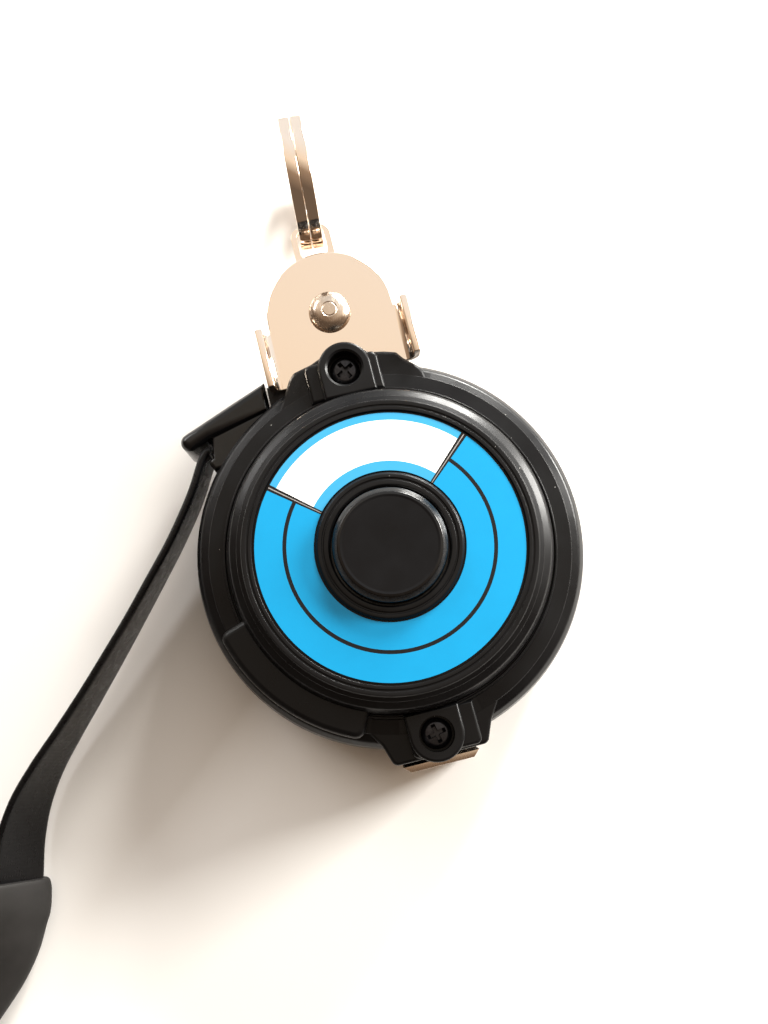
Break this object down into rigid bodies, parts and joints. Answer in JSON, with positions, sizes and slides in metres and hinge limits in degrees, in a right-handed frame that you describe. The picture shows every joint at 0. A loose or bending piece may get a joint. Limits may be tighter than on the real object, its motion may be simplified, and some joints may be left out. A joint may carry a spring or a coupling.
{
  "type": "self retracting lifeline",
  "caption": "Palm-sized sprung webbing reel with a round case, central stop button, swivel bracket with split ring, and a webbing lanyard ending in a snap hook.",
  "frame": {"origin": "middle of the rear plate's outer face, on the drum's axis", "axes": "+Z along the drum's axis out of the front face; +Y from the drum's axis to the bracket's rivet; +X to the right, seen from the front"},
  "size_m": [0.1928, 0.3208, 0.0367],
  "materials": {
    "moulded_black": "fine moulded texture",
    "gloss_black": "gloss moulding",
    "label_blue": "printed label, satin",
    "plated_steel": "nickel plated sheet and wire",
    "dark_screw": "black plated screws",
    "turned_steel": "turned",
    "spring_steel": "blued spring steel",
    "drum_plastic": "moulded",
    "white_nylon": "moulded nylon",
    "black_webbing": "woven, satin",
    "brake_rubber": "matt",
    "forged_alloy": "satin"
  },
  "bodies": {
    "reel": {"rear_cover": "moulded_black", "front_cover": "moulded_black", "label_ring": "label_blue", "bezel_ring": "moulded_black", "case_screw_top": "dark_screw", "case_screw_bottom": "dark_screw", "outlet_guide": "gloss_black", "rear_plate": "plated_steel", "front_bracket": "plated_steel", "bracket_rivet": "plated_steel", "drum_shaft": "turned_steel", "shaft_clip": "spring_steel", "spring_seat": "turned_steel", "power_spring": "spring_steel", "button_spring": "spring_steel", "webbing_lead": "black_webbing", "webbing_tail": "black_webbing"},
    "drum": {"drum": "drum_plastic", "drum_flange": "drum_plastic", "drum_screw_1": "turned_steel", "drum_screw_2": "turned_steel", "drum_screw_3": "turned_steel", "rear_bush": "white_nylon", "front_bush": "white_nylon", "webbing_coil": "black_webbing"},
    "button": {"stop_button": "gloss_black", "brake_pad": "brake_rubber"},
    "link": {"swivel_link": "plated_steel"},
    "ring": {"split_ring": "plated_steel"},
    "lanyard_end": {"end_sleeve": "black_webbing", "webbing_eye": "black_webbing", "hook_eye": "forged_alloy"},
    "hook": {"hook_body": "forged_alloy", "gate_pin": "turned_steel", "lock_pin": "turned_steel"},
    "gate": {"hook_gate": "forged_alloy"},
    "lock": {"hook_lock": "forged_alloy"}
  },
  "joints": [
    {"name": "lanyard_pull", "type": "slide", "parent": "reel", "child": "lanyard_end", "axis": [-0.2805, -0.9599, 0], "range_m": [0, 1.2], "stiffness_N_per_m": 6, "springref_m": -0.5},
    {"name": "drum_spin", "type": "hinge", "parent": "reel", "child": "drum", "pos_m": [0, 0, 0.0128], "axis": [0, 0, 1], "range_deg": [0, 2650]},
    {"name": "button_press", "type": "slide", "parent": "reel", "child": "button", "axis": [0, 0, -1], "range_m": [0, 0.0025], "stiffness_N_per_m": 700, "springref_m": -0.0012, "deforming": ["button_spring"]},
    {"name": "link_swivel", "type": "hinge", "parent": "reel", "child": "link", "pos_m": [0, 0.059, 0.01885], "axis": [0, 0, 1], "range_deg": [-60, 60]},
    {"name": "ring_tilt", "type": "hinge", "parent": "link", "child": "ring", "pos_m": [0, 0.0775, 0.01885], "axis": [0.9981, -0.0611, 0], "range_deg": [-30, 30]},
    {"name": "hook_swivel", "type": "hinge", "parent": "lanyard_end", "child": "hook", "pos_m": [-0.1243, -0.114, 0.006], "axis": [0, 1, 0], "continuous": true},
    {"name": "gate_open", "type": "hinge", "parent": "hook", "child": "gate", "pos_m": [-0.1153, -0.133, 0.006], "axis": [0, 0, -1], "range_deg": [0, 22], "stiffness_Nm_per_rad": 0.12, "springref_deg": -20.05},
    {"name": "lock_squeeze", "type": "hinge", "parent": "hook", "child": "lock", "pos_m": [-0.1318, -0.128, 0.006], "axis": [0, 0, 1], "range_deg": [0, 5], "stiffness_Nm_per_rad": 0.3, "springref_deg": -5.73}
  ],
  "couplings": [
    {"joint": "drum_spin", "follows": "lanyard_pull", "rad_per_m": 38.46}
  ]
}
